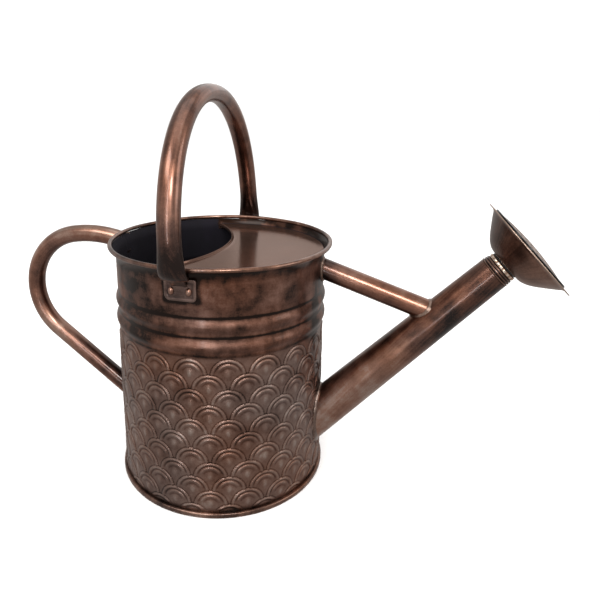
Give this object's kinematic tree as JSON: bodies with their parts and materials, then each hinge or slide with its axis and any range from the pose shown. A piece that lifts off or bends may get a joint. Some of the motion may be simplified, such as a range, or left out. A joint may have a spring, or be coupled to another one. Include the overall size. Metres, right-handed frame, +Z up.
{
  "type": "watering can",
  "caption": "Metal watering can: embossed drum with half cover, over-arm carrying hoop, rear handle and a braced spout with a screw-on sprinkler rose.",
  "frame": {"origin": "on the drum's axis at ground level, 2 mm under the recessed base plate", "axes": "+X towards the spout, +Y to the can's left, +Z up along the drum"},
  "size_m": [0.4328, 0.2024, 0.3088],
  "materials": {
    "drum_copper": "antique brushed copper finish on steel, embossed, satin",
    "cover_copper": "antique copper finish on steel, smooth, semi-gloss",
    "handle_copper": "antique copper finish on steel tube, semi-gloss with streaks",
    "spout_copper": "antique copper finish on rolled steel, satin with streaks",
    "rose_copper": "dark antique copper finish on pressed steel, satin",
    "fitting_copper": "dark antique copper finish on small steel fittings, satin",
    "solder": "bright worn copper finish over solder",
    "brass": "worn turned brass",
    "rubber": "matt black rubber"
  },
  "bodies": {
    "can": {"body_shell": "drum_copper", "rim_roll": "drum_copper", "foot_ring": "fitting_copper", "base_plate": "fitting_copper", "top_cover": "cover_copper", "carry_handle": "handle_copper", "right_handle_plate": "fitting_copper", "left_handle_plate": "fitting_copper", "right_front_rivet": "fitting_copper", "right_rear_rivet": "fitting_copper", "left_front_rivet": "fitting_copper", "left_rear_rivet": "fitting_copper", "rear_handle": "handle_copper", "rear_handle_upper_solder": "solder", "rear_handle_lower_solder": "solder", "spout": "spout_copper", "spout_base_solder": "solder", "spout_brace": "handle_copper", "brace_drum_solder": "solder", "brace_spout_solder": "solder", "spout_collar": "rose_copper", "spout_nipple": "brass"},
    "rose_seal": {"rose_washer": "rubber"},
    "rose": {"rose_neck": "brass", "rose_bowl": "rose_copper", "rose_face": "rose_copper"}
  },
  "joints": [
    {"name": "rose_travel", "type": "slide", "parent": "can", "child": "rose_seal", "axis": [0.7337, 0, 0.6794], "range_m": [0, 0.01]},
    {"name": "rose_turn", "type": "hinge", "parent": "rose_seal", "child": "rose", "pos_m": [0.20429, 0, 0.17716], "axis": [0.7337, 0, 0.6794], "range_deg": [0, 1800]}
  ],
  "couplings": [
    {"joint": "rose_travel", "follows": "rose_turn", "m_per_rad": 0.000318}
  ]
}
